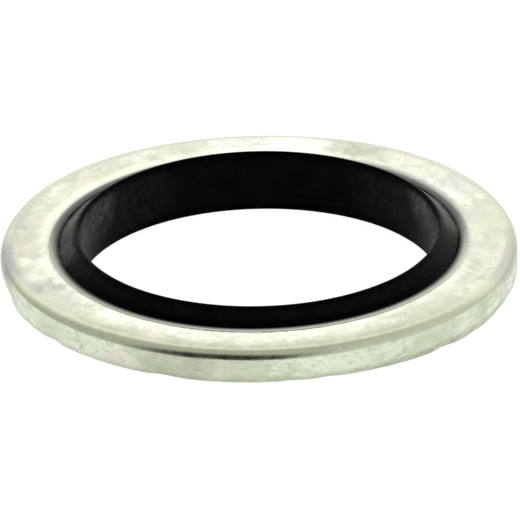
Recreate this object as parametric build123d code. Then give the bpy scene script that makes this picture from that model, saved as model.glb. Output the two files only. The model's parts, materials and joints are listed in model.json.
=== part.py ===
from build123d import *
import os

# Bonded sealing washer: a stamped steel ring with a rubber lip seal bonded into its bore.
# Units are millimetres. The washer's axis is Z, and the origin is on that axis, half way up the seal.

# Metal washer, pierced from above and then blanked, so its two die rolls are on opposite faces
washer_thickness = 1.7  # face to face
ring_width = 2.53  # radial width of the metal, from the bonded joint to the rim
bore_roll_width = 0.40  # how far the die roll round the bore reaches across the upper face
bore_roll_depth = 0.28  # how far it runs down the bore
rim_roll_width = 0.55  # how far the die roll round the rim reaches across the lower face
rim_roll_depth = 0.38  # how far it runs up the rim
rim_edge_radius = 0.50  # the sheared upper edge of the rim, tumbled round
bore_edge_radius = 0.15  # the sheared lower edge of the bore, tumbled round

# Rubber seal, moulded as one ring with a lip standing proud of each face of the metal
seal_bore = 16.7  # clears an M16 bolt
seal_wall = 1.12  # radial width of the rubber, from the bore to the bonded joint
lip_rise = 0.65  # crest of each lip above the face of the metal
crest_radius = 0.10  # round at the top of each lip
flank_reach = 0.90  # how far a lip's sloping flank runs outwards from the bore to the flat land
land_drop = 0.02  # how far the flat land outside each lip lies below the face of the metal

# Radii and heights that follow from the sizes above
bore_radius = seal_bore / 2
joint_radius = bore_radius + seal_wall
rim_radius = joint_radius + ring_width
face_height = washer_thickness / 2
joint_top = face_height - bore_roll_depth
joint_bottom = bore_edge_radius - face_height
crest_height = face_height + lip_rise
land_height = face_height - land_drop
flank_foot = bore_radius + flank_reach
bore_roll_radius = (bore_roll_width**2 + bore_roll_depth**2) / (2 * bore_roll_depth)

# Where the rubber's flat land meets the metal, a little way down the die roll round the bore
land_end = joint_radius + bore_roll_width - (land_drop * (2 * bore_roll_radius - land_drop)) ** 0.5


def metal_section():
    """Right half of the ring's section, with its die rolls and tumbled edges."""
    with BuildSketch(Plane.XZ) as section:
        with BuildLine():
            top_start = (joint_radius + bore_roll_width, face_height)
            top_face = Line(top_start, (rim_radius - rim_edge_radius, face_height))
            upper_rim = TangentArc(top_face @ 1, (rim_radius, face_height - rim_edge_radius), tangent=(1, 0))
            rim_wall = Line(upper_rim @ 1, (rim_radius, rim_roll_depth - face_height))
            lower_rim = TangentArc((rim_radius - rim_roll_width, -face_height), rim_wall @ 1, tangent=(1, 0))
            bottom_face = Line(lower_rim @ 0, (joint_radius + bore_edge_radius, -face_height))
            lower_bore = TangentArc(bottom_face @ 1, (joint_radius, joint_bottom), tangent=(-1, 0))
            bore_wall = Line(lower_bore @ 1, (joint_radius, joint_top))
            TangentArc(top_face @ 0, bore_wall @ 1, tangent=(-1, 0))
        make_face()
    return section.sketch


def seal_section():
    """Right half of the seal's section: two lips, and outside them the web that fills the metal's bore."""
    crest_offset = crest_height - crest_radius
    with BuildSketch(Plane.XZ) as section:
        with BuildLine():
            CenterArc((bore_radius + crest_radius, crest_offset), crest_radius, 0, 360)
            CenterArc((bore_radius + crest_radius, -crest_offset), crest_radius, 0, 360)
            Line((flank_foot, -land_height), (flank_foot, land_height))
        make_hull()
        with Locations(((flank_foot + land_end) / 2, 0)):
            Rectangle(land_end - flank_foot, 2 * land_height)
        add(metal_section(), mode=Mode.SUBTRACT)
    return section.sketch


def ring(section, name):
    """Turns a section about the washer's axis and names the solid."""
    solid = revolve(section, Axis.Z)
    solid.label = name
    return solid


metal_washer = ring(metal_section(), "metal_washer")
rubber_seal = ring(seal_section(), "rubber_seal")

os.makedirs("parts", exist_ok=True)
for piece in (metal_washer, rubber_seal):
    export_step(piece, f"parts/{piece.label}.step")
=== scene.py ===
import json
import math
import bpy
import numpy as np
from mathutils import Matrix, Vector


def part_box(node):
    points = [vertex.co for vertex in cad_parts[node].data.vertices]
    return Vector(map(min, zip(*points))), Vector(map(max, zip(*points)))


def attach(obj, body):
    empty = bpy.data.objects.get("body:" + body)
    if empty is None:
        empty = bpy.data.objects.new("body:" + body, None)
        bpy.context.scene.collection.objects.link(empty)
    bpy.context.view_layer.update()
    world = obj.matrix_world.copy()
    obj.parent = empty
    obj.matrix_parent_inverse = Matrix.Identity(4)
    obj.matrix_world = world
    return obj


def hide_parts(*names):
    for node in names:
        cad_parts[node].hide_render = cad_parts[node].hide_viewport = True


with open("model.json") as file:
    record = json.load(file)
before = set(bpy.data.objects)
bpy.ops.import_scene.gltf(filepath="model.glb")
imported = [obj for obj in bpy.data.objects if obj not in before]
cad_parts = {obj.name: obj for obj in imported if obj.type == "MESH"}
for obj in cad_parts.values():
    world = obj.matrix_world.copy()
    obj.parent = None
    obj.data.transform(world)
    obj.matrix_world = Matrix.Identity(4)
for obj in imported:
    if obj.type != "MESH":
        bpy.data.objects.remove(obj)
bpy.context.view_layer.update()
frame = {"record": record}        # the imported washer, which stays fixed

millimetre = 0.001
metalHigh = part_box("metal_washer")[1]
sealLow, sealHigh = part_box("rubber_seal")
boreMount = [m for m in frame["record"]["mounts"] if m["name"] == "bore"][0]
faceHeight = metalHigh.z                     # the metal's upper face
rimRadius = metalHigh.x
landEnd = sealHigh.x                         # where the seal's flat land meets the metal
crestHeight = sealHigh.z
boreRadius = boreMount["dims"]["r_mm"] * millimetre
print("frame read: rim", rimRadius, "land", landEnd, "bore", boreRadius)


def arcPoints(centre, radius, startDegrees, endDegrees, steps):
    angles = np.radians(np.linspace(startDegrees, endDegrees, steps))
    return [(centre[0] + radius * math.cos(a), centre[1] + radius * math.sin(a)) for a in angles]


def linePoints(start, end, steps):
    # the points between two ends, without the ends
    return [(start[0] + (end[0] - start[0]) * t, start[1] + (end[1] - start[1]) * t)
            for t in np.linspace(0, 1, steps + 1)[1:-1]]


def rollArc(wallRadius, outward, face, across, down, steps):
    # from the face to the wall: tangent to the face, it meets the wall at a slight corner
    side = 1 if face > 0 else -1
    bend = (across ** 2 + down ** 2) / (2 * down)
    sweep = math.acos(1 - down / bend)
    return [(wallRadius - outward * (across - bend * math.sin(a)), face - side * bend * (1 - math.cos(a)))
            for a in np.linspace(0, sweep, steps)]


def ramp(value, start, end):
    # 0 at start, 1 at end, smooth between
    t = np.clip((value - start) / (end - start), 0, 1)
    return t * t * (3 - 2 * t)


def waviness(angles, seed, lowest, highest, fall):
    # a smooth wave round the ring between -1 and 1, always the same for a seed
    random = np.random.default_rng(seed)
    wave = np.zeros_like(angles)
    for count in range(lowest, highest + 1):
        wave += count ** -fall * np.sin(count * angles + random.uniform(0, 2 * math.pi))
    return wave / np.abs(wave).max()


def turnProfile(name, profile, segments, shape):
    # the profile is a closed loop of (radius, height); shape moves each point of the turned surface
    loop = np.array(profile)
    count = len(loop)
    angles = np.linspace(0, 2 * math.pi, segments, endpoint=False)
    radius = np.repeat(loop[:, 0][None, :], segments, axis=0)
    height = np.repeat(loop[:, 1][None, :], segments, axis=0)
    radius, height = shape(angles[:, None], radius, height)
    points = np.stack([radius * np.cos(angles)[:, None], radius * np.sin(angles)[:, None], height], axis=-1)
    row, col = np.meshgrid(np.arange(segments), np.arange(count), indexing="ij")
    nextRow, nextCol = (row + 1) % segments, (col + 1) % count
    quads = np.stack([row * count + col, nextRow * count + col, nextRow * count + nextCol,
                      row * count + nextCol], axis=-1).reshape(-1, 4)
    mesh = bpy.data.meshes.new(name)
    mesh.from_pydata(points.reshape(-1, 3).tolist(), [], quads.tolist())
    mesh.update()
    mesh.shade_smooth()
    piece = bpy.data.objects.new(name, mesh)
    bpy.context.scene.collection.objects.link(piece)
    return piece


def nodeMaker(tree):
    # short way to add a node with its settings and inputs
    def add(kind, inputs=None, **settings):
        node = tree.nodes.new(kind)
        for key, value in settings.items():
            setattr(node, key, value)
        for key, value in (inputs or {}).items():
            if isinstance(value, bpy.types.NodeSocket):
                tree.links.new(value, node.inputs[key])
            else:
                node.inputs[key].default_value = value
        return node
    return add


def newMaterial(name):
    material = bpy.data.materials.new(name)
    material.use_nodes = True
    material.node_tree.nodes.clear()
    return material, material.node_tree, nodeMaker(material.node_tree)


def dress(piece, material, node):
    piece.data.materials.clear()
    piece.data.materials.append(material)
    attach(piece, "root")
    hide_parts(node)


def ringMeasures(add):
    # what a finish can follow, in millimetres: the point, its distance from the axis, x, y and height
    place = add("ShaderNodeTexCoord").outputs["Object"]
    point = add("ShaderNodeVectorMath", {0: place, "Scale": 1 / millimetre}, operation="SCALE").outputs[0]
    flat = add("ShaderNodeVectorMath", {0: point, 1: (1, 1, 0)}, operation="MULTIPLY").outputs[0]
    radius = add("ShaderNodeVectorMath", {0: flat}, operation="LENGTH").outputs["Value"]
    parts = add("ShaderNodeSeparateXYZ", {0: point}).outputs
    return {"point": point, "radius": radius, "x": parts["X"], "y": parts["Y"], "height": parts["Z"]}


def ringPoint(angle, radius, height):
    # a point from its direction in degrees, its distance from the axis and its height
    turn = math.radians(angle)
    return (radius * math.cos(turn), radius * math.sin(turn), height)


def stretched(add, place, factors):
    # a pattern at this place comes out longer where the factor is under 1
    return add("ShaderNodeVectorMath", {0: place, 1: factors}, operation="MULTIPLY").outputs[0]


def fade(add, value, start, end, low=0.0, high=1.0):
    node = add("ShaderNodeMapRange", {"Value": value, "From Min": start, "From Max": end, "To Min": low,
                                      "To Max": high}, interpolation_type="SMOOTHSTEP")
    return node.outputs["Result"]


def sums(add, operation, *values):
    total = values[0]
    for value in values[1:]:
        total = add("ShaderNodeMath", {0: total, 1: value}, operation=operation).outputs[0]
    return total


def noiseOf(add, place, scale, detail, roughness, shift=(0, 0, 0)):
    moved = add("ShaderNodeVectorMath", {0: place, 1: shift}, operation="ADD")
    return add("ShaderNodeTexNoise", {"Vector": moved.outputs[0], "Scale": scale, "Detail": detail,
                                      "Roughness": roughness}).outputs["Fac"]


def blend(add, amount, first, second, mode="MIX"):
    # each of the two colours is a plain colour or comes from another node; sockets 6 and 7 take them
    node = add("ShaderNodeMix", {0: amount}, data_type="RGBA", blend_type=mode)
    tree = node.id_data
    for socket, value in ((node.inputs[6], first), (node.inputs[7], second)):
        if isinstance(value, bpy.types.NodeSocket):
            tree.links.new(value, socket)
        else:
            socket.default_value = value
    return node.outputs[2]


def spot(add, place, centre, full, reach, strength):
    # a soft round spot, at its strength up to the full radius and 0 from its reach on
    away = add("ShaderNodeVectorMath", {0: place, 1: centre}, operation="DISTANCE")
    return fade(add, away.outputs["Value"], full, reach, strength, 0.0)


def zone(add, measures, limits):
    # how far all the limits hold: each is a measure, its start and its end, and the strength at both
    return sums(add, "MULTIPLY", *[fade(add, measures[name], *span) for name, *span in limits])


def washes(add, color, measures, tints, rows):
    # tints a colour where a measure lies in a range: measure, start, full, strength, tint
    for name, start, full, strength, tint in rows:
        color = blend(add, fade(add, measures[name], start, full, 0.0, strength), color, tints[tint])
    return color


washerRing = {
    "boreRoll": (0.40 * millimetre, 0.28 * millimetre),     # across the face, down the wall
    "rimRoll": (0.55 * millimetre, 0.38 * millimetre),
    "rimEdge": (0.50 * millimetre, 0.50 * millimetre),
    "boreEdge": (0.15 * millimetre, 0.15 * millimetre),
    "landDrop": 0.02 * millimetre,           # how far the seal's land lies under the metal's face
    "segments": 960,                         # round the ring
    "arcSteps": 12,
    "boreEdgeSteps": 6,
    "upperFaceSteps": 22,
    "lowerFaceSteps": 12,
    "rimWallSteps": 10,
    "boreWallSteps": 3,
    # how far in from the rim, and how far below the middle, the unevenness starts and is full
    "unevenRim": (0.9 * millimetre, 0.2 * millimetre),
    "unevenLow": (-0.1 * millimetre, 0.6 * millimetre),
    "rimWander": 0.012 * millimetre,         # how far the blanked wall wanders in from a true circle
    "rimWaves": (4, 2, 9, 0.8),              # seed, fewest and most waves round, fall of the quick ones
    "lowerNicks": 0.100 * millimetre,        # unevenness of the lower rim
    "nickWaves": (11, 9, 45, 0.4),
    "nickSharpness": 1.3,
    "nickRise": 0.7,                         # how far a nick lifts the edge, as a share of its depth
    "dent": (188, 15, 0.26 * millimetre),    # in the lower rim: direction, reach in degrees, depth
    "tightRoll": [(322, 38, 0.62)],          # the lower die roll is smaller here: direction, reach, share
    "tightEdge": [(47, 40, 0.42), (133, 40, 0.42)],         # and the upper edge is less rounded here
    "faceWander": 0.004 * millimetre,
    "faceWaves": (21, 3, 14, 0.5),
    "faceDepth": 0.05 * millimetre,          # what lies this far under the upper face moves with it
    "tuckIn": 0.004 * millimetre,            # keeps the uneven rim inside its true size
}
rollAcross, rollDown = washerRing["boreRoll"]
rollBend = (rollAcross ** 2 + rollDown ** 2) / (2 * rollDown)
landDrop = washerRing["landDrop"]
jointRadius = landEnd - rollAcross + math.sqrt(landDrop * (2 * rollBend - landDrop))


def lobe(angles, direction, reach):
    # 1 in one direction round the ring, 0 from the reach on
    away = np.abs((np.degrees(angles) - direction + 180) % 360 - 180)
    return ramp(away, reach, 0)


def tighten(angles, radius, height, side, rounding, where):
    # makes the rounding at the upper or lower rim smaller in some directions
    # the face and the wall stay where they are
    scale = 1 - sum(share * lobe(angles, direction, reach) for direction, reach, share in where)
    inward, deep = rimRadius - radius, faceHeight - side * height
    across, down = rounding
    slack = 1e-6 * millimetre                # takes in the points at the rounding's ends
    rounded = (inward < across + slack) & (deep < down + slack)
    return (np.where(rounded, rimRadius - inward * scale, radius),
            np.where(rounded, side * (faceHeight - deep * scale), height))


def washerProfile():
    arcSteps = washerRing["arcSteps"]
    upperBore = rollArc(jointRadius, -1, faceHeight, *washerRing["boreRoll"], arcSteps)
    upperRim = rollArc(rimRadius, 1, faceHeight, *washerRing["rimEdge"], arcSteps)
    lowerRim = rollArc(rimRadius, 1, -faceHeight, *washerRing["rimRoll"], arcSteps)
    lowerBore = rollArc(jointRadius, -1, -faceHeight, *washerRing["boreEdge"], washerRing["boreEdgeSteps"])
    loop = upperBore[::-1] + linePoints(upperBore[0], upperRim[0], washerRing["upperFaceSteps"]) + upperRim
    loop += linePoints(upperRim[-1], lowerRim[-1], washerRing["rimWallSteps"]) + lowerRim[::-1]
    loop += linePoints(lowerRim[0], lowerBore[0], washerRing["lowerFaceSteps"]) + lowerBore
    loop += linePoints(lowerBore[-1], upperBore[-1], washerRing["boreWallSteps"])
    return loop[::-1]


def washerShape(angles, radius, height):
    rimStart, rimFull = washerRing["unevenRim"]
    rim = ramp(radius, rimRadius - rimStart, rimRadius - rimFull)
    low = ramp(-height, *washerRing["unevenLow"])
    wander = washerRing["rimWander"] * (0.5 + 0.5 * waviness(angles, *washerRing["rimWaves"]))
    nicks = np.maximum(waviness(angles, *washerRing["nickWaves"]), 0) ** washerRing["nickSharpness"]
    direction, reach, depth = washerRing["dent"]
    nicks = washerRing["lowerNicks"] * nicks + depth * lobe(angles, direction, reach)
    radius, height = tighten(angles, radius, height, -1, washerRing["rimRoll"], washerRing["tightRoll"])
    radius, height = tighten(angles, radius, height, 1, washerRing["rimEdge"], washerRing["tightEdge"])
    radius = radius - rim * (washerRing["tuckIn"] + wander + low * nicks)
    height = height + rim * low * washerRing["nickRise"] * nicks
    face = ramp(height, faceHeight - washerRing["faceDepth"], faceHeight) * (1 - rim)
    faceWaves = 0.5 + 0.5 * waviness(angles, *washerRing["faceWaves"])
    return radius, height - face * washerRing["faceWander"] * faceWaves


def makeWasher():
    return turnProfile("washer_ring", washerProfile(), washerRing["segments"], washerShape)


# sizes are in millimetres: radius is the distance from the axis, and the front is towards -Y
zincFinish = {
    "tints": {
        "cream": (0.745, 0.76, 0.605, 1),
        "yellowGreen": (0.635, 0.665, 0.475, 1),
        "lilacGrey": (0.63, 0.63, 0.575, 1),
        "bright": (0.91, 0.915, 0.745, 1),   # painted highlight of the band beside the seal; also light crystals, mottle and spots
        "paintedGleam": (0.97, 0.975, 0.79, 1),     # painted highlight where the near joint begins
        "rollLightAndShade": (0.86, 0.86, 0.73, 1),      # painted light on the rolled edge in front, where the metal would mirror the black lip
        # painted shade on the rolled edge away from the front
        "rollShade": (0.46, 0.465, 0.42, 1),
        "dim": (0.56, 0.565, 0.46, 1),
        "rose": (0.75, 0.70, 0.59, 1),
        "leaf": (0.62, 0.70, 0.49, 1),
        "olive": (0.465, 0.49, 0.35, 1),     # duller towards the rim
        "frost": (0.93, 0.96, 0.92, 1),
        # grey smudges, and painted shade near the rim on the left
        "smudgeAndShade": (0.45, 0.468, 0.415, 1),
        # painted shade on the far edge
        "farEdge": (0.56, 0.565, 0.52, 1),
        "mint": (0.68, 0.775, 0.58, 1),      # the rim's wall is greener than the faces
        "paleMint": (0.84, 0.92, 0.74, 1),
        "dullMint": (0.52, 0.56, 0.42, 1),
        "pearl": (0.80, 0.83, 0.78, 1),
        "edge": (0.65, 0.685, 0.49, 1),      # painted shade on the rounded rim
        "sideEdge": (0.40, 0.405, 0.37, 1),  # painted shade on the rim at the left and the right
        "speck": (0.28, 0.29, 0.24, 1),
        "smear": (0.36, 0.36, 0.33, 1),      # darker grey on the metal beside the seal, at the back on the right
    },
    "roughness": [("mottle", 0.3, 0.75, 0.21, 0.32)],
    "polish": (0.09, 0.06),                  # how much smoother the band of painted highlight and the painted gleam are
    # random patterns: scale, detail, roughness, shift
    "noises": {
        "broad": (0.45, 3.0, 0.55, (3.1, 7.4, 1.2)),
        "cloud": (0.9, 3.0, 0.6, (20.0, 4.0, 9.0)),
        "mottle": (2.1, 3.0, 0.6, (11.0, 2.0, 5.0)),
        "grain": (12.0, 2.0, 0.5),
    },
    "fineNoise": (3.6, 3.0, 0.65, (2.0, 8.0, 6.0)),
    "fineStretch": (1.0, 0.55, 1.0),
    "drift": (1.4, 2.0, 1.2),                # what bends the blotches' borders: scale, detail, reach
    # washes over the cream of the faces: pattern, start, full, strength, tint
    "faceWashes": [("broad", 0.42, 0.62, 0.7, "yellowGreen"), ("cloud", 0.50, 0.66, 0.8, "lilacGrey")],
    # crystals of the plating at two sizes: scale and strength
    "crystals": [(0.85, 0.46), (1.9, 0.44)],
    "crystalStretch": (1.0, 0.6, 1.0),
    "crystalBorder": 0.05,
    # a crystal's tints, by its three random values: value, start, full, share of the strength, tint
    "crystalTints": [(0, 0.70, 0.80, 1.0, "dim"), (1, 0.70, 0.80, 1.2, "bright"),
                     (2, 0.80, 0.86, 1.0, "leaf"), (2, 0.20, 0.14, 1.0, "rose")],
    "mottleWashes": [("mottle", 0.56, 0.66, 0.30, "bright"), ("mottle", 0.44, 0.34, 0.35, "dim"),
                     ("fine", 0.48, 0.36, 0.20, "bright"), ("fine", 0.52, 0.62, 0.28, "dim")],
    # where the finishes lie: measure, start, end, and the strength at both where it isn't 0 and 1
    "bandFront": [("y", -3.0, -7.5)],
    "bandShift": (-0.45, 0.5),               # moves the band of painted highlight at the front, and with the mottle
    # painted highlight: a bright band on the face beside the seal, weaker on the right
    "highlightBesideSeal": [("bandRadius", 10.68, 10.38), ("height", 0.70, 0.80), ("mottle", 0.35, 0.60, 0.95, 0.55),
                   ("x", 3.0, 8.0, 1.0, 0.25)],
    # painted highlight on the face in front, beside the joint
    "paintedGleam": [("radius", 10.40, 10.00), ("y", -2.0, -7.0), ("height", 0.70, 0.80)],
    # the rolled edge beside the seal, where light and shade are painted
    "rollLightAndShade": [("radius", 9.94, 9.76), ("height", 0.50, 0.62)],
    "nearJoint": [("y", 0.5, -5.0)],
    "farRollShade": 0.5,                         # how strong the painted shade on the rolled edge is away from the front
    "rollMirrorCut": 0.9,                       # how much of the metal's mirroring it takes away in front
    # the face is darker towards the rim: olive in front, painted shade on the far edge at the back, and
    # painted shade near the rim on the left
    "rimDarkening": [([("y", -4.5, -9.5), ("radius", 10.8, 11.5), ("cloud", 0.35, 0.60, 0.5, 0.9)], "olive"),
                 ([("y", 0.0, 6.0), ("radius", 11.3, 11.6, 0.0, 0.8)], "farEdge"),
                 ([("x", -9.5, -11.0), ("radius", 10.9, 11.6, 0.0, 0.65)], "smudgeAndShade")],
    "wall": [("radius", 11.72, 11.95), ("height", 0.66, 0.45)],
    # painted shade on the rounded rim, uneven with the mottle
    "rounded": [("radius", 11.42, 11.66), ("height", 0.42, 0.60), ("mottle", 0.35, 0.6, 0.9, 0.6)],
    "sideShadeEdge": [("radius", 11.30, 11.62), ("height", 0.1, 0.45)],
    # the places of painted shade on the rim: angle, height, how far it is full, how far it reaches,
    # strength
    "sideShadeSpots": [(187, 0.7, 0.8, 3.0, 1.0), (350, 0.5, 1.0, 4.2, 0.55)],
    "smear": [("smearRadius", 10.25, 9.90), ("height", 0.6, 0.7)],
    "smearShift": 0.25,
    "smearSpot": ((7.8, 6.0, 0.85), 2.4, 4.8, 0.75),
    "grainy": [("grain", 0.55, 0.75, 0.0, 0.35)],
    "pitScale": 1.3,
    "pits": [("pitDistance", 0.12, 0.04), ("cloud", 0.46, 0.58, 0.0, 0.7), ("height", 0.5, 0.8)],
    "relief": {"mottle": 0.8, "grain": 0.15, "pits": -0.5},
    "bump": (0.4, 0.03 * millimetre),
    # tinted patches on the upper face: angle, distance from the axis, reach, tint, strength
    "patches": [
        (12, 10.9, 2.6, "yellowGreen", 0.7), (36, 10.7, 2.8, "frost", 0.25),
        (30, 11.4, 1.8, "lilacGrey", 0.5), (64, 11.3, 1.9, "olive", 0.75),
        (82, 10.5, 2.2, "frost", 0.9), (97, 10.7, 1.8, "frost", 0.6),
        (107, 11.4, 1.6, "yellowGreen", 0.6), (117, 10.7, 0.7, "smudgeAndShade", 0.5),
        (140, 11.5, 0.8, "smudgeAndShade", 0.5), (158, 10.8, 1.4, "yellowGreen", 0.5),
        (170, 11.3, 0.45, "smudgeAndShade", 0.7), (27, 9.95, 0.9, "frost", 0.8), (185, 11.2, 1.6, "rose", 0.8),
        (193, 11.4, 1.2, "yellowGreen", 0.8), (190, 11.1, 0.6, "bright", 0.9),
        (205, 10.70, 1.15, "smudgeAndShade", 1.0), (186, 10.65, 0.6, "dim", 0.8),
        (221, 10.6, 1.4, "cream", 0.6), (213, 10.6, 1.6, "lilacGrey", 0.6),
        (237, 11.4, 1.2, "yellowGreen", 0.8), (257, 11.6, 1.5, "olive", 0.5),
        (256, 10.7, 1.2, "bright", 0.8), (292, 11.4, 1.8, "olive", 0.5),
        (292, 10.5, 1.1, "bright", 0.7), (309, 10.8, 2.4, "dim", 0.5),
        (314, 11.3, 1.6, "yellowGreen", 0.7), (321, 10.4, 1.3, "lilacGrey", 0.6),
        (337, 11.4, 0.9, "smudgeAndShade", 0.45), (352, 10.6, 1.2, "rose", 0.4), (221, 10.5, 1.1, "dim", 0.6),
        (1, 11.2, 1.0, "dim", 0.5), (180, 10.6, 1.7, "dim", 0.35), (209, 10.45, 1.7, "dim", 0.35),
        (13, 10.3, 0.9, "lilacGrey", 0.8), (21, 10.15, 0.6, "bright", 1.0),
        (23, 11.4, 0.6, "bright", 0.7), (350, 10.8, 2.6, "dim", 0.35),
    ],
    "patchEdge": [("mottle", 0.34, 0.58, 0.4, 1.0)],
    "patchCore": 0.35,                       # the share of a patch's reach that is fully tinted
    # the wall is mint with marks that run along it
    "wallStretch": (0.8, 0.8, 2.0),
    "wallNoises": {
        "wallBroad": (0.45, 2.0, 0.5, (14.0, 2.0, 7.0)),
        "streak": (0.9, 3.0, 0.6, (5.0, 1.0, 2.0)),
        "scuff": (2.2, 4.0, 0.65, (1.0, 9.0, 4.0)),
    },
    "wallWashes": [("streak", 0.46, 0.54, 1.0, "paleMint"), ("wallBroad", 0.50, 0.64, 0.5, "pearl"),
                   ("wallBroad", 0.46, 0.36, 0.6, "leaf"), ("scuff", 0.53, 0.62, 0.8, "bright")],
    # patches on it: angle, height, reach, tint, strength
    "wallPatches": [
        (196, 0.1, 0.8, "smudgeAndShade", 0.4), (203, 0.0, 1.1, "pearl", 0.6), (216, -0.1, 1.6, "mint", 0.8),
        (231, 0.35, 1.1, "paleMint", 0.8), (237, -0.45, 0.9, "rose", 0.7),
        (250, -0.1, 2.6, "dullMint", 0.85), (257, 0.15, 1.0, "olive", 0.6),
        (264, 0.1, 1.3, "dullMint", 0.6), (269, 0.1, 0.9, "leaf", 0.8),
        (288, 0.0, 2.2, "paleMint", 0.7), (300, 0.1, 1.6, "paleMint", 0.6),
        (312, 0.0, 1.8, "leaf", 0.7), (329, 0.2, 0.6, "dullMint", 0.5),
    ],
    "wallPatchEdge": [("scuff", 0.36, 0.56, 0.4, 1.0)],
    "wallWear": [("scuff", 0.46, 0.36, 0.6, "dullMint"), ("fine", 0.54, 0.64, 0.20, "dim")],
    "lowEdge": [("height", -0.30, -0.55), ("scuff", 0.40, 0.60, 0.3, 0.9), ("x", 2.5, 5.5, 0.25, 1.0)],
}


def patchwork(add, color, place, unevenness, patches):
    # blends patches with soft, uneven edges into a colour: centre, reach, tint, strength
    for centre, reach, tint, strength in patches:
        area = spot(add, place, centre, zincFinish["patchCore"] * reach, reach, strength)
        color = blend(add, sums(add, "MULTIPLY", area, unevenness), color, zincFinish["tints"][tint])
    return color


def zincMeasures(add):
    measures = ringMeasures(add)
    point = measures["point"]
    for name, noise in zincFinish["noises"].items():
        measures[name] = noiseOf(add, point, *noise)
    finePoint = stretched(add, point, zincFinish["fineStretch"])
    measures["fine"] = noiseOf(add, finePoint, *zincFinish["fineNoise"])
    wallPoint = stretched(add, point, zincFinish["wallStretch"])
    for name, noise in zincFinish["wallNoises"].items():
        measures[name] = noiseOf(add, wallPoint, *noise)
    scale, detail, reach = zincFinish["drift"]
    drift = add("ShaderNodeTexNoise", {"Vector": point, "Scale": scale, "Detail": detail}).outputs["Color"]
    middle = add("ShaderNodeVectorMath", {0: point, 1: (reach / 2,) * 3}, operation="SUBTRACT").outputs[0]
    measures["bent"] = add("ShaderNodeVectorMath", {0: drift, 1: (reach,) * 3, 2: middle},
                           operation="MULTIPLY_ADD").outputs[0]
    atFront, withMottle = zincFinish["bandShift"]
    front = zone(add, measures, zincFinish["bandFront"])
    mottle = measures["mottle"]
    measures["bandRadius"] = sums(add, "ADD", measures["radius"], sums(add, "MULTIPLY", front, atFront),
                                  sums(add, "MULTIPLY", mottle, withMottle))
    measures["smearRadius"] = sums(add, "ADD", measures["radius"],
                                   sums(add, "MULTIPLY", mottle, zincFinish["smearShift"]))
    pitCells = add("ShaderNodeTexVoronoi", {"Vector": point, "Scale": zincFinish["pitScale"]}, feature="F1")
    measures["pitDistance"] = pitCells.outputs["Distance"]
    return measures


def crystals(add, color, measures):
    # dim, bright, greenish and rosy crystals with clear borders
    tints, border = zincFinish["tints"], zincFinish["crystalBorder"]
    wide = stretched(add, measures["bent"], zincFinish["crystalStretch"])
    for scale, strength in zincFinish["crystals"]:
        cells = add("ShaderNodeTexVoronoi", {"Vector": wide, "Scale": scale, "Smoothness": border},
                    feature="SMOOTH_F1")
        values = add("ShaderNodeSeparateColor", {0: cells.outputs["Color"]}).outputs
        for value, start, full, share, tint in zincFinish["crystalTints"]:
            amount = fade(add, values[value], start, full, 0.0, strength * share)
            color = blend(add, amount, color, tints[tint])
    return washes(add, color, measures, tints, zincFinish["mottleWashes"])


def wallColor(add, measures):
    tints = zincFinish["tints"]
    color = washes(add, tints["mint"], measures, tints, zincFinish["wallWashes"])
    patches = [(ringPoint(angle, rimRadius / millimetre, rise), reach, tint, strength)
               for angle, rise, reach, tint, strength in zincFinish["wallPatches"]]
    unevenness = zone(add, measures, zincFinish["wallPatchEdge"])
    color = patchwork(add, color, measures["point"], unevenness, patches)
    color = washes(add, color, measures, tints, zincFinish["wallWear"])
    return blend(add, zone(add, measures, zincFinish["lowEdge"]), color, tints["olive"])


def faceColor(add, measures, highlightBand, paintedGleam):
    tints = zincFinish["tints"]
    color = washes(add, tints["cream"], measures, tints, zincFinish["faceWashes"])
    color = crystals(add, color, measures)
    # painted highlight beside the seal, then the painted gleam in front
    color = blend(add, highlightBand, color, tints["bright"])
    color = blend(add, paintedGleam, color, tints["paintedGleam"])
    patches = [(ringPoint(angle, away, faceHeight / millimetre), reach, tint, strength)
               for angle, away, reach, tint, strength in zincFinish["patches"]]
    color = patchwork(add, color, measures["bent"], zone(add, measures, zincFinish["patchEdge"]), patches)
    # darker towards the rim, partly painted shade
    for limits, tint in zincFinish["rimDarkening"]:
        color = blend(add, zone(add, measures, limits), color, tints[tint])
    return color


def edgeColor(add, color, measures):
    # the wall, painted shade on the rounding above it, and more painted shade on the rim at the left and
    # the right
    tints = zincFinish["tints"]
    color = blend(add, zone(add, measures, zincFinish["wall"]), color, wallColor(add, measures))
    color = blend(add, zone(add, measures, zincFinish["rounded"]), color, tints["edge"])
    point, edge = measures["point"], zone(add, measures, zincFinish["sideShadeEdge"])
    spots = [spot(add, point, ringPoint(angle, rimRadius / millimetre, rise), full, reach, strength)
             for angle, rise, full, reach, strength in zincFinish["sideShadeSpots"]]
    sideShade = sums(add, "MULTIPLY", sums(add, "MAXIMUM", *spots), edge)
    return blend(add, sideShade, color, tints["sideEdge"])


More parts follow.
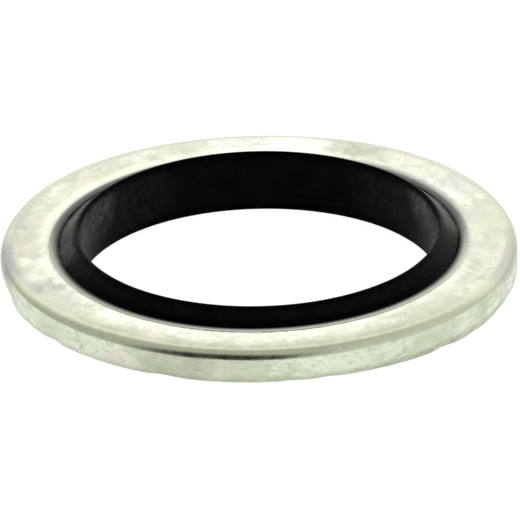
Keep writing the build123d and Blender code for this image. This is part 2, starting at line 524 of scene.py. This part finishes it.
def zincPlate():
    material, tree, add = newMaterial("zincPlate")
    output = add("ShaderNodeOutputMaterial")
    tints = zincFinish["tints"]
    measures = zincMeasures(add)
    highlightBand = zone(add, measures, zincFinish["highlightBesideSeal"])
    paintedGleam = zone(add, measures, zincFinish["paintedGleam"])
    rollLightAndShade = zone(add, measures, zincFinish["rollLightAndShade"])
    rollLightNear = sums(add, "MULTIPLY", rollLightAndShade, zone(add, measures, zincFinish["nearJoint"]))
    measures["pits"] = zone(add, measures, zincFinish["pits"])
    smear = sums(add, "MULTIPLY", zone(add, measures, zincFinish["smear"]),
                 spot(add, measures["point"], *zincFinish["smearSpot"]))
    color = faceColor(add, measures, highlightBand, paintedGleam)
    # painted shade on the rolled edge, and painted light on it in front
    color = blend(add, sums(add, "MULTIPLY", rollLightAndShade, zincFinish["farRollShade"]), color, tints["rollShade"])
    color = blend(add, rollLightNear, color, tints["rollLightAndShade"])
    color = edgeColor(add, color, measures)
    color = blend(add, zone(add, measures, zincFinish["grainy"]), color, tints["yellowGreen"], "MULTIPLY")
    color = blend(add, smear, color, tints["smear"])
    color = blend(add, measures["pits"], color, tints["speck"])
    metallic = sums(add, "SUBTRACT", 1.0, sums(add, "MULTIPLY", rollLightNear, zincFinish["rollMirrorCut"]))
    bandPolish, gleamPolish = zincFinish["polish"]
    rough = sums(add, "SUBTRACT", zone(add, measures, zincFinish["roughness"]),
                 sums(add, "MULTIPLY", highlightBand, bandPolish), sums(add, "MULTIPLY", paintedGleam, gleamPolish))
    relief = sums(add, "ADD", *[sums(add, "MULTIPLY", measures[name], share)
                                for name, share in zincFinish["relief"].items()])
    strength, distance = zincFinish["bump"]
    bump = add("ShaderNodeBump", {"Strength": strength, "Distance": distance, "Height": relief})
    shader = add("ShaderNodeBsdfPrincipled", {"Base Color": color, "Metallic": metallic, "Roughness": rough,
                                              "Normal": bump.outputs["Normal"]})
    tree.links.new(shader.outputs["BSDF"], output.inputs["Surface"])
    return material


sealLip = {
    "crestRadius": 0.10 * millimetre,
    "flankReach": 0.90 * millimetre,         # the flank's foot, outwards from the bore
    "grooveWide": 0.10 * millimetre,         # fine crease where the flank meets the land
    "grooveDeep": 0.05 * millimetre,
    "undercut": 0.05 * millimetre,           # the land runs on this far under the rolled metal
    "segments": 900,                         # round the seal
    "crestSteps": 14,
    "flankSteps": 12,
    "grooveSteps": 7,
    "landSteps": 5,
    "boreSteps": 26,
    "crestWander": 0.010 * millimetre,       # how uneven the crest, the land and the bore are
    "crestWaves": (31, 2, 12, 0.6),
    "landWander": 0.004 * millimetre,
    "landWaves": (33, 3, 24, 0.3),
    "boreWander": 0.006 * millimetre,
    "boreWaves": (35, 3, 20, 0.6),
}
crestCentre = (boreRadius + sealLip["crestRadius"], crestHeight - sealLip["crestRadius"])


def lipSide(side):
    # one lip, from its crest down the flank to the end of the land
    land = faceHeight - landDrop
    foot = boreRadius + sealLip["flankReach"]
    across, rise = foot - crestCentre[0], crestCentre[1] - land
    crest = sealLip["crestRadius"]
    slope = math.atan2(rise, across) + math.asin(crest / math.hypot(across, rise))
    points = arcPoints(crestCentre, crest, 180, 90 - math.degrees(slope), sealLip["crestSteps"])
    wide, deep = sealLip["grooveWide"], sealLip["grooveDeep"]
    start = (foot - wide / 2 * math.cos(slope), land + wide / 2 * math.sin(slope))
    points += linePoints(points[-1], start, sealLip["flankSteps"]) + [start]
    # the crease is a smooth dip, a quarter of it before the flank's foot
    points += [(foot + wide * (t - 0.25), land - deep * math.sin(math.pi * t) ** 2)
               for t in np.linspace(0.1, 0.9, sealLip["grooveSteps"])]
    points += [(foot + wide, land)]
    points += linePoints(points[-1], (landEnd, land), sealLip["landSteps"])
    points += [(landEnd + sealLip["undercut"], land)]
    return [(radius, side * height) for radius, height in points]


def sealProfile():
    upper, lower = lipSide(1), lipSide(-1)
    loop = upper + [(jointRadius, faceHeight - rollDown),
                    (jointRadius, washerRing["boreEdge"][1] - faceHeight)] + lower[::-1]
    loop += linePoints(lower[0], upper[0], sealLip["boreSteps"])
    return loop[::-1]


def sealShape(angles, radius, height):
    top = ramp(np.abs(height), faceHeight, crestHeight)
    land = ramp(radius, boreRadius + sealLip["flankReach"], landEnd)
    crestWaves = 0.5 + 0.5 * waviness(angles, *sealLip["crestWaves"])
    landWaves = waviness(angles, *sealLip["landWaves"])
    boreWaves = 0.5 + 0.5 * waviness(angles, *sealLip["boreWaves"])
    height = height - np.sign(height) * top * sealLip["crestWander"] * crestWaves
    height = height - np.sign(height) * land * sealLip["landWander"] * landWaves
    return radius + (1 - land) * sealLip["boreWander"] * boreWaves, height


def makeSeal():
    return turnProfile("lip_seal", sealProfile(), sealLip["segments"], sealShape)


# sizes are in millimetres; level is the height without its sign, for what both lips have in common
rubberFinish = {
    "tints": {
        "black": (0.0003, 0.0003, 0.0003, 1),
        "flankSheen": (0.0070, 0.0052, 0.0046, 1), # painted brownish sheen on the middle of the wall and the flanks
        "landSheen": (0.24, 0.24, 0.22, 1),       # painted grey sheen on the flat land
        # painted highlight on the land, and painted shade where the land starts
        "landHighlight": (0.90, 0.90, 0.76, 1),
        "landShade": (0.12, 0.12, 0.11, 1),
        # painted reflections on the bore wall and on the flanks near the crests
        "paintedGlint": (0.17, 0.158, 0.146, 1),
    },
    "roughness": [("smear", 0.35, 0.68, 0.12, 0.33)],
    "mirror": 1.09,                          # a low index keeps what the rubber mirrors faint
    "noises": {
        "bloom": (0.9, 4.0, 0.62),
        "grain": (9.0, 3.0, 0.6, (4.0, 4.0, 4.0)),
    },
    "smearNoise": (2.6, 3.0, 0.6, (8.0, 1.0, 3.0)),
    "smearStretch": (1, 1, 0.75),
    # where the painted sheen lies: the wall below its top, and the middle of each flank
    "wallBand": [("level", 1.25, 0.95), ("radius", 8.45, 8.40)],
    "flankBand": [("radius", 8.55, 8.75), ("radius", 9.12, 8.95)],
    "flankSheenShare": [("bloom", 0.32, 0.62, 0.25, 1.0)],
    # painted reflections on the wall and the flanks: angle, distance from the axis, height, reach, strength
    "glintMarks": [(152, 8.35, 0.7, 1.7, 0.6), (163, 8.35, 0.2, 1.0, 0.2), (24, 8.35, 1.0, 1.6, 1.0),
              (170, 8.85, 1.15, 1.8, 0.50), (186, 8.90, 1.15, 1.9, 0.55), (8, 8.85, 1.15, 1.8, 0.55),
              (166, 8.80, 1.15, 1.0, 0.45), (18, 9.00, 1.00, 1.3, 0.45),
              (132, 8.35, 0.3, 2.8, 0.07), (44, 8.35, 0.3, 2.8, 0.09)],
    "glintCore": 0.25,                        # the share of a mark's reach where it is full
    "glintStreaks": [("smear", 0.35, 0.6, 0.3, 1.0)],
    "bareCrest": (0.1, 0.3),                # no painted reflection nearer the crest's middle, and all of it from here
    # painted highlight on the land in front, less of it on the left
    "frontLandHighlight": [("y", 3.5, -2.5), ("x", -7.0, -2.0, 0.75, 1.0)],
    "sheenShift": [("y", 0.0, -6.0, 0.0, 0.08)],              # it starts this much further out in front
    "sheenInside": [("filmRadius", 9.34, 9.66)],
    "sheenOutside": [("radius", 9.58, 9.76, 0.0, 0.5)],
    "sheenStart": [("filmRadius", 9.30, 9.42)],
    "relief": {"smear": 1.4, "grain": 0.3},
    "bump": (0.35, 0.03 * millimetre),
}


def rubberMeasures(add):
    measures = ringMeasures(add)
    point, radius = measures["point"], measures["radius"]
    for name, noise in rubberFinish["noises"].items():
        measures[name] = noiseOf(add, point, *noise)
    smearPoint = stretched(add, point, rubberFinish["smearStretch"])
    measures["smear"] = noiseOf(add, smearPoint, *rubberFinish["smearNoise"])
    measures["level"] = add("ShaderNodeMath", {0: measures["height"]}, operation="ABSOLUTE").outputs[0]
    across = sums(add, "SUBTRACT", radius, crestCentre[0] / millimetre)
    rise = sums(add, "SUBTRACT", measures["level"], crestCentre[1] / millimetre)
    measures["crestSquared"] = sums(add, "ADD", sums(add, "MULTIPLY", across, across),
                                    sums(add, "MULTIPLY", rise, rise))
    measures["filmRadius"] = sums(add, "SUBTRACT", radius, zone(add, measures, rubberFinish["sheenShift"]))
    return measures


def paintedSheenRubber(add, measures):
    # painted brownish sheen on the middle of the wall and the flanks, darker towards the crests and the
    # foot, and painted reflections that leave the crests black
    bands = sums(add, "MAXIMUM", zone(add, measures, rubberFinish["wallBand"]),
                 zone(add, measures, rubberFinish["flankBand"]))
    flankSheenShare = sums(add, "MULTIPLY", bands, zone(add, measures, rubberFinish["flankSheenShare"]))
    tints = rubberFinish["tints"]
    color = blend(add, flankSheenShare, tints["black"], tints["flankSheen"])
    inner, outer = rubberFinish["bareCrest"]
    uneven = sums(add, "MULTIPLY", zone(add, measures, rubberFinish["glintStreaks"]),
                  fade(add, measures["crestSquared"], inner ** 2, outer ** 2))
    for angle, away, rise, reach, strength in rubberFinish["glintMarks"]:
        centre, full = ringPoint(angle, away, rise), rubberFinish["glintCore"] * reach
        mark = spot(add, measures["point"], centre, full, reach, strength)
        color = blend(add, sums(add, "MULTIPLY", mark, uneven), color, tints["paintedGlint"])
    return color


def landSheenColor(add, measures):
    # painted sheen on the land: painted shade where it starts, painted highlight in front and where it runs
    # out over the metal
    tints = rubberFinish["tints"]
    landSheen = blend(add, zone(add, measures, rubberFinish["frontLandHighlight"]), tints["landSheen"], tints["landHighlight"])
    landSheen = blend(add, zone(add, measures, rubberFinish["sheenInside"]), tints["landShade"], landSheen)
    return blend(add, zone(add, measures, rubberFinish["sheenOutside"]), landSheen, tints["landHighlight"])


def blackRubber():
    material, tree, add = newMaterial("blackRubber")
    output = add("ShaderNodeOutputMaterial")
    measures = rubberMeasures(add)
    color = blend(add, zone(add, measures, rubberFinish["sheenStart"]), paintedSheenRubber(add, measures),
                  landSheenColor(add, measures))
    rough = zone(add, measures, rubberFinish["roughness"])
    relief = sums(add, "ADD", *[sums(add, "MULTIPLY", measures[name], share)
                                for name, share in rubberFinish["relief"].items()])
    strength, distance = rubberFinish["bump"]
    bump = add("ShaderNodeBump", {"Strength": strength, "Distance": distance, "Height": relief})
    mirror = rubberFinish["mirror"]
    shader = add("ShaderNodeBsdfPrincipled", {"Base Color": color, "Roughness": rough, "IOR": mirror,
                                              "Normal": bump.outputs["Normal"]})
    tree.links.new(shader.outputs["BSDF"], output.inputs["Surface"])
    return material


dress(makeWasher(), zincPlate(), "metal_washer")
print("washer ring made")
dress(makeSeal(), blackRubber(), "rubber_seal")
print("lip seal made")


studio = {
    "floorSize": 1.2,
    "paper": (0.66, 0.66, 0.66, 1),
    "paperGlow": 0.50,                       # paper and glow together are white in what the washer mirrors
    "backdropPaper": (0.10, 0.10, 0.10, 1),  # the same seen straight on, with only a faint shadow
    "backdropGlow": 0.97,
    # the room, by direction: a start and an end are parts of a direction of length 1 along X, Y or Z
    "horizon": 1.20,                         # a bright backdrop beyond the washer
    "leftHorizon": 0.76,
    "leftTurn": (-0.50, -0.80),              # from here to here the backdrop fades to its left side
    "ceiling": 0.60,                         # dimmer overhead and at the sides
    "rightSide": 0.80,
    "rightTurn": (0.1, 0.80),
    "farSide": (0.24, 0.62),                 # from here to here the ceiling fades into the backdrop
    "skirt": 0.72,                           # a darker line where the backdrop meets the floor
    "skirtTop": 0.34,
    "skirtTurn": (-0.2, 0.3),
    "darkToward": (-0.29, -0.88, 0.37),      # the dim side of the room: in front, a little left and up
    "darkLevel": 0.05,
    "darkInner": 23.0,                       # degrees from its middle that it stays dark
    "darkOuter": 43.0,                       # and from where the room is light again
}


def makeFloor():
    half = studio["floorSize"] / 2
    level = sealLow.z
    mesh = bpy.data.meshes.new("floor")
    corners = [(-half, -half, level), (half, -half, level), (half, half, level), (-half, half, level)]
    mesh.from_pydata(corners, [], [(0, 1, 2, 3)])
    floor = bpy.data.objects.new("floor", mesh)
    bpy.context.scene.collection.objects.link(floor)
    material, tree, add = newMaterial("paperFloor")
    output = add("ShaderNodeOutputMaterial")
    ray = add("ShaderNodeLightPath")
    mirrored = sums(add, "MAXIMUM", ray.outputs["Is Glossy Ray"], ray.outputs["Is Transmission Ray"])
    glow = sums(add, "MAXIMUM", sums(add, "MULTIPLY", ray.outputs["Is Camera Ray"], studio["backdropGlow"]),
                sums(add, "MULTIPLY", mirrored, studio["paperGlow"]))
    paper = blend(add, ray.outputs["Is Camera Ray"], studio["paper"], studio["backdropPaper"])
    both = add("ShaderNodeAddShader", {0: add("ShaderNodeBsdfDiffuse", {"Color": paper}).outputs[0],
                                       1: add("ShaderNodeEmission", {"Strength": glow}).outputs[0]})
    tree.links.new(both.outputs[0], output.inputs["Surface"])
    floor.data.materials.append(material)


def makeWorld():
    world = bpy.data.worlds.new("studio")
    bpy.context.scene.world = world
    world.use_nodes = True
    tree = world.node_tree
    tree.nodes.clear()
    add = nodeMaker(tree)
    output = add("ShaderNodeOutputWorld")
    toward = add("ShaderNodeTexCoord").outputs["Generated"]
    axes = add("ShaderNodeSeparateXYZ", {0: toward})
    dim = fade(add, axes.outputs["X"], *studio["rightTurn"], studio["ceiling"], studio["rightSide"])
    bright = fade(add, axes.outputs["X"], *studio["leftTurn"], studio["horizon"], studio["leftHorizon"])
    level = fade(add, axes.outputs["Y"], *studio["farSide"], dim, bright)
    skirt = fade(add, axes.outputs["Y"], *studio["skirtTurn"], 1.0, studio["skirt"])
    low = fade(add, axes.outputs["Z"], 0.0, studio["skirtTop"], skirt, 1.0)
    dark = Vector(studio["darkToward"]).normalized()
    near = add("ShaderNodeVectorMath", {0: toward, 1: dark}, operation="DOT_PRODUCT").outputs["Value"]
    outer, inner = [math.cos(math.radians(studio[name])) for name in ("darkOuter", "darkInner")]
    lit = fade(add, near, outer, inner, 1.0, studio["darkLevel"])
    mirrored = sums(add, "MULTIPLY", level, lit, low)
    room = add("ShaderNodeBackground", {"Color": (1, 1, 1, 1), "Strength": mirrored})
    white = add("ShaderNodeBackground", {"Color": (1, 1, 1, 1), "Strength": 1.0})
    ray = add("ShaderNodeLightPath")
    mix = add("ShaderNodeMixShader", {0: ray.outputs["Is Camera Ray"], 1: room.outputs[0],
                                      2: white.outputs[0]})
    tree.links.new(mix.outputs[0], output.inputs["Surface"])


view = {
    "elevation": 25.3,                       # degrees above the horizon
    "roll": 1.25,                            # the right side stands this many degrees higher
    "distance": 40 * rimRadius,
    "sensorWidth": 36,                       # millimetres
    "clipStart": 0.01,                       # metres
    "imageSize": 520,
    "pixelsPerRadius": 258.6,                # the rim's radius as it comes out across the image
    "centrePixel": (259.1, 256.6),           # where the washer's middle comes out
}


def makeCamera():
    tilt, roll = math.radians(view["elevation"]), math.radians(view["roll"])
    right = Vector((1, 0, 0))
    back = Vector((0, -math.cos(tilt), math.sin(tilt)))
    up = back.cross(right)
    acrossImage = right * math.cos(roll) - up * math.sin(roll)
    upImage = right * math.sin(roll) + up * math.cos(roll)
    pixel = rimRadius / view["pixelsPerRadius"]
    shiftRight, shiftDown = [(view["imageSize"] / 2 - centre) * pixel for centre in view["centrePixel"]]
    aim = acrossImage * shiftRight - upImage * shiftDown
    data = bpy.data.cameras.new("camera")
    data.sensor_width = view["sensorWidth"]
    data.lens = view["sensorWidth"] * view["distance"] / (pixel * view["imageSize"])
    data.clip_start = view["clipStart"]
    camera = bpy.data.objects.new("camera", data)
    place = aim + back * view["distance"]
    turned = Matrix((acrossImage, upImage, back)).transposed().to_4x4()
    camera.matrix_world = Matrix.Translation(place) @ turned
    bpy.context.scene.collection.objects.link(camera)
    bpy.context.scene.camera = camera


makeFloor()
makeWorld()
makeCamera()
bpy.context.scene.view_settings.view_transform = "Standard"
print("stage and camera set")
